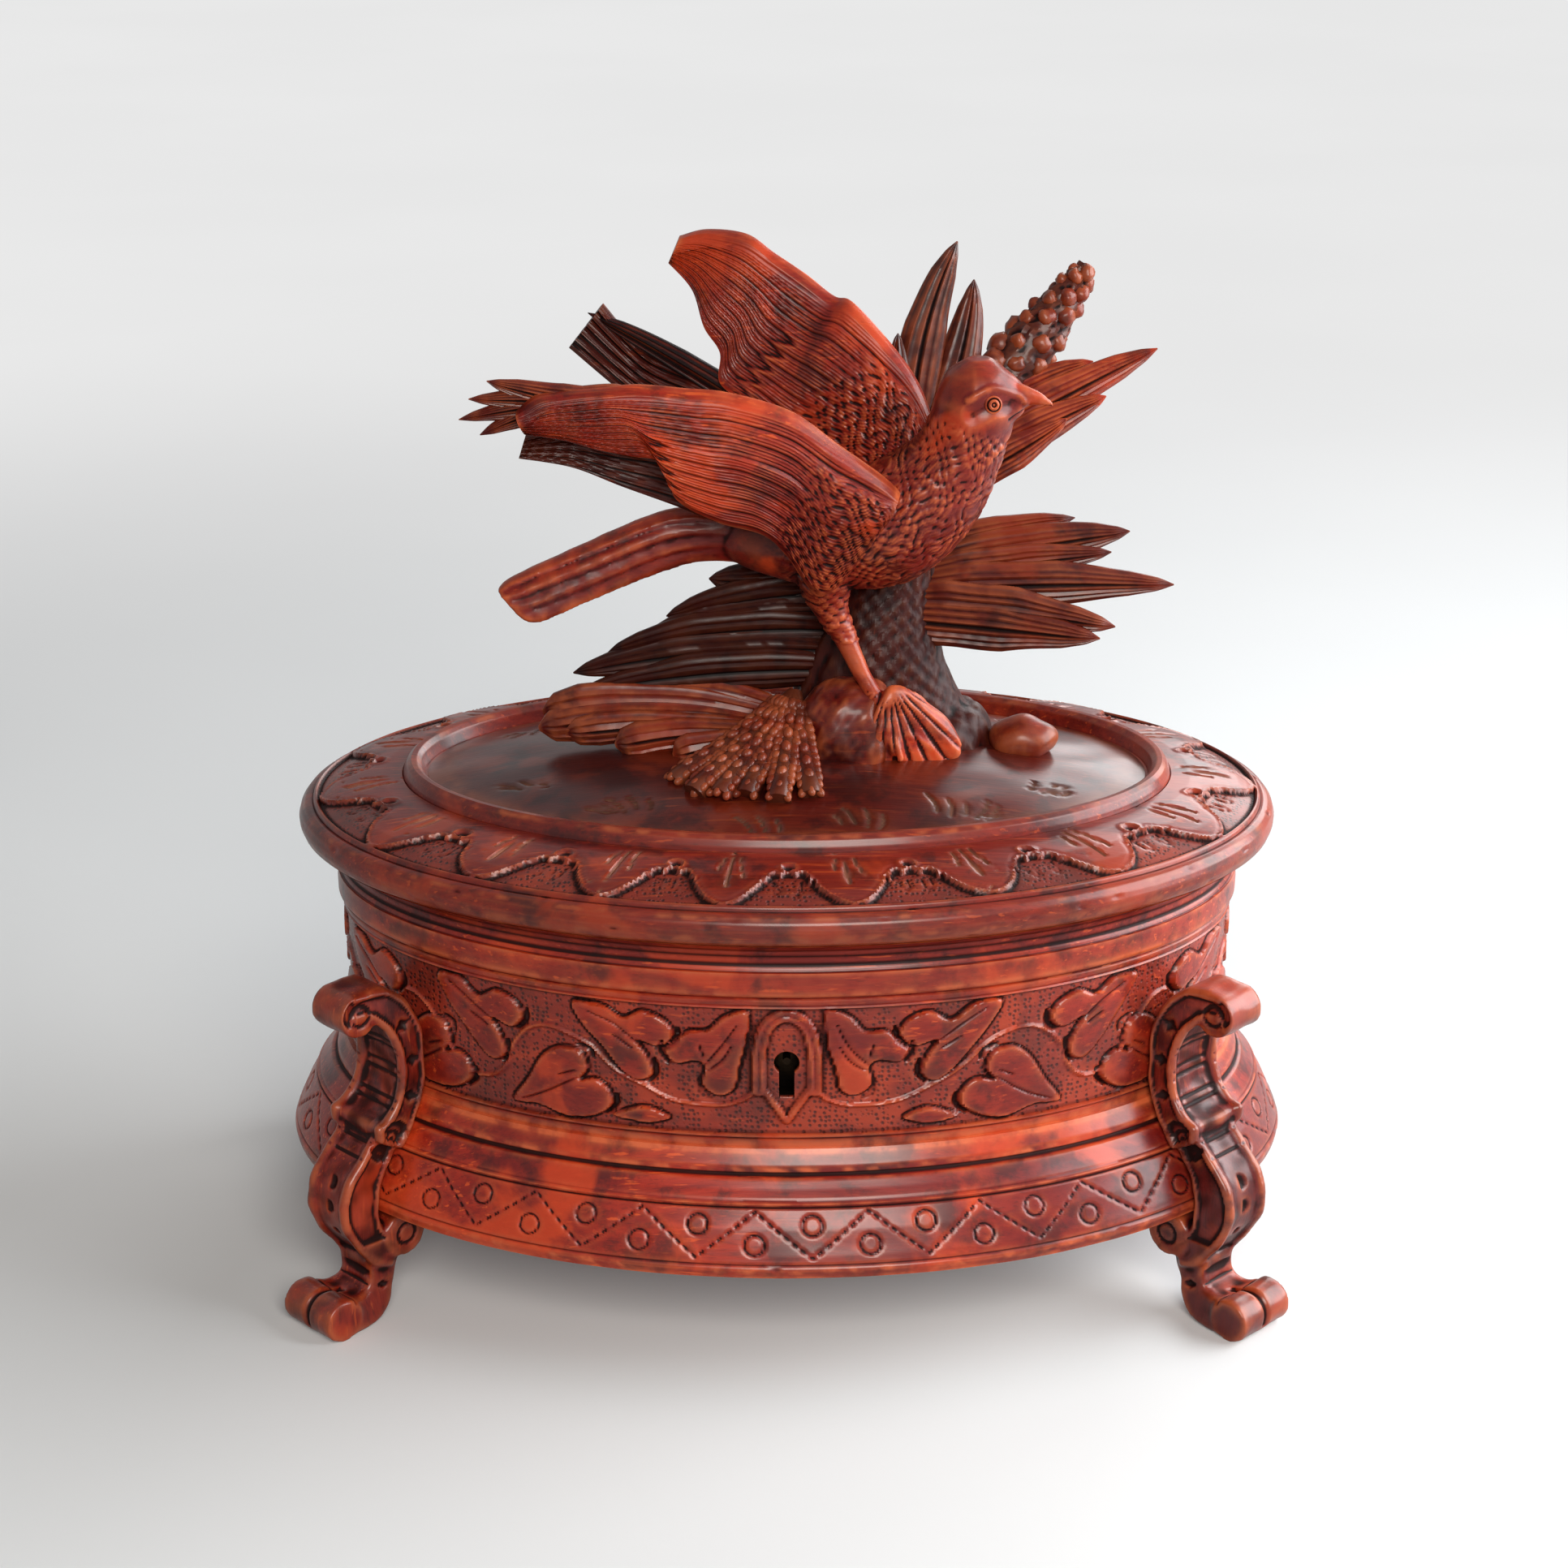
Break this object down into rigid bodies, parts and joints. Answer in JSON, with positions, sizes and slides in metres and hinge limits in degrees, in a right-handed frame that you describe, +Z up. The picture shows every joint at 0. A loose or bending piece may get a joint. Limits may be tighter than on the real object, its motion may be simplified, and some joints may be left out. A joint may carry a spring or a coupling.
{
  "type": "oval carved jewellery box",
  "caption": "Oval carved wooden jewellery box on scroll legs, with a hinged lid that carries a carved bird among foliage, a small lock and a lined well.",
  "frame": {"origin": "on the surface the box stands on, under the middle of its oval plan", "axes": "+X along the oval's long axis, -Y towards the keyhole front, +Z up"},
  "size_m": [0.2506, 0.1756, 0.2511],
  "materials": {
    "walnut": "stained red-brown and varnished, rubbed orange on the high edges",
    "brass": "aged, satin",
    "velvet": "dark red cotton velvet over padding"
  },
  "bodies": {
    "box": {"box_wall": "walnut", "base_moulding": "walnut", "bottom_board": "walnut", "wall_lining": "velvet", "floor_pad": "velvet", "leg_front_left": "walnut", "leg_front_right": "walnut", "leg_rear_left": "walnut", "leg_rear_right": "walnut", "leg_screw_front_left": "brass", "leg_screw_front_right": "brass", "leg_screw_rear_left": "brass", "leg_screw_rear_right": "brass", "hinge_left_lower_leaf": "brass", "hinge_right_lower_leaf": "brass", "hinge_left_pin": "brass", "hinge_right_pin": "brass", "hinge_lower_screw_1": "brass", "hinge_lower_screw_2": "brass", "hinge_lower_screw_3": "brass", "hinge_lower_screw_4": "brass", "lock_case": "brass", "lock_cover": "brass", "lock_key_post": "brass", "lock_spring": "brass", "lock_screw_left": "brass", "lock_screw_right": "brass"},
    "lid": {"lid_frame": "walnut", "lid_top": "walnut", "lid_pad": "velvet", "finial_stump": "walnut", "finial_stone": "walnut", "bird_body": "walnut", "bird_near_wing": "walnut", "bird_far_wing": "walnut", "under_wing_feathers": "walnut", "rear_left_feathers": "walnut", "upper_leaves": "walnut", "flower_spike": "walnut", "right_upper_leaves": "walnut", "right_lower_leaves": "walnut", "left_dark_fan": "walnut", "left_light_fan": "walnut", "wheat_ears": "walnut", "group_screw_left": "brass", "group_screw_right": "brass", "hinge_left_upper_leaf": "brass", "hinge_right_upper_leaf": "brass", "hinge_upper_screw_1": "brass", "hinge_upper_screw_2": "brass", "hinge_upper_screw_3": "brass", "hinge_upper_screw_4": "brass", "lock_link_plate": "brass", "link_screw_left": "brass", "link_screw_right": "brass"},
    "bolt": {"lock_bolt": "brass"}
  },
  "joints": [
    {"name": "lid_hinge", "type": "hinge", "parent": "box", "child": "lid", "pos_m": [0, 0.0739, 0.0932], "axis": [-1, 0, 0], "range_deg": [0, 95]},
    {"name": "lock_bolt_slide", "type": "slide", "parent": "box", "child": "bolt", "axis": [1, 0, 0], "range_m": [0, 0.004]}
  ]
}
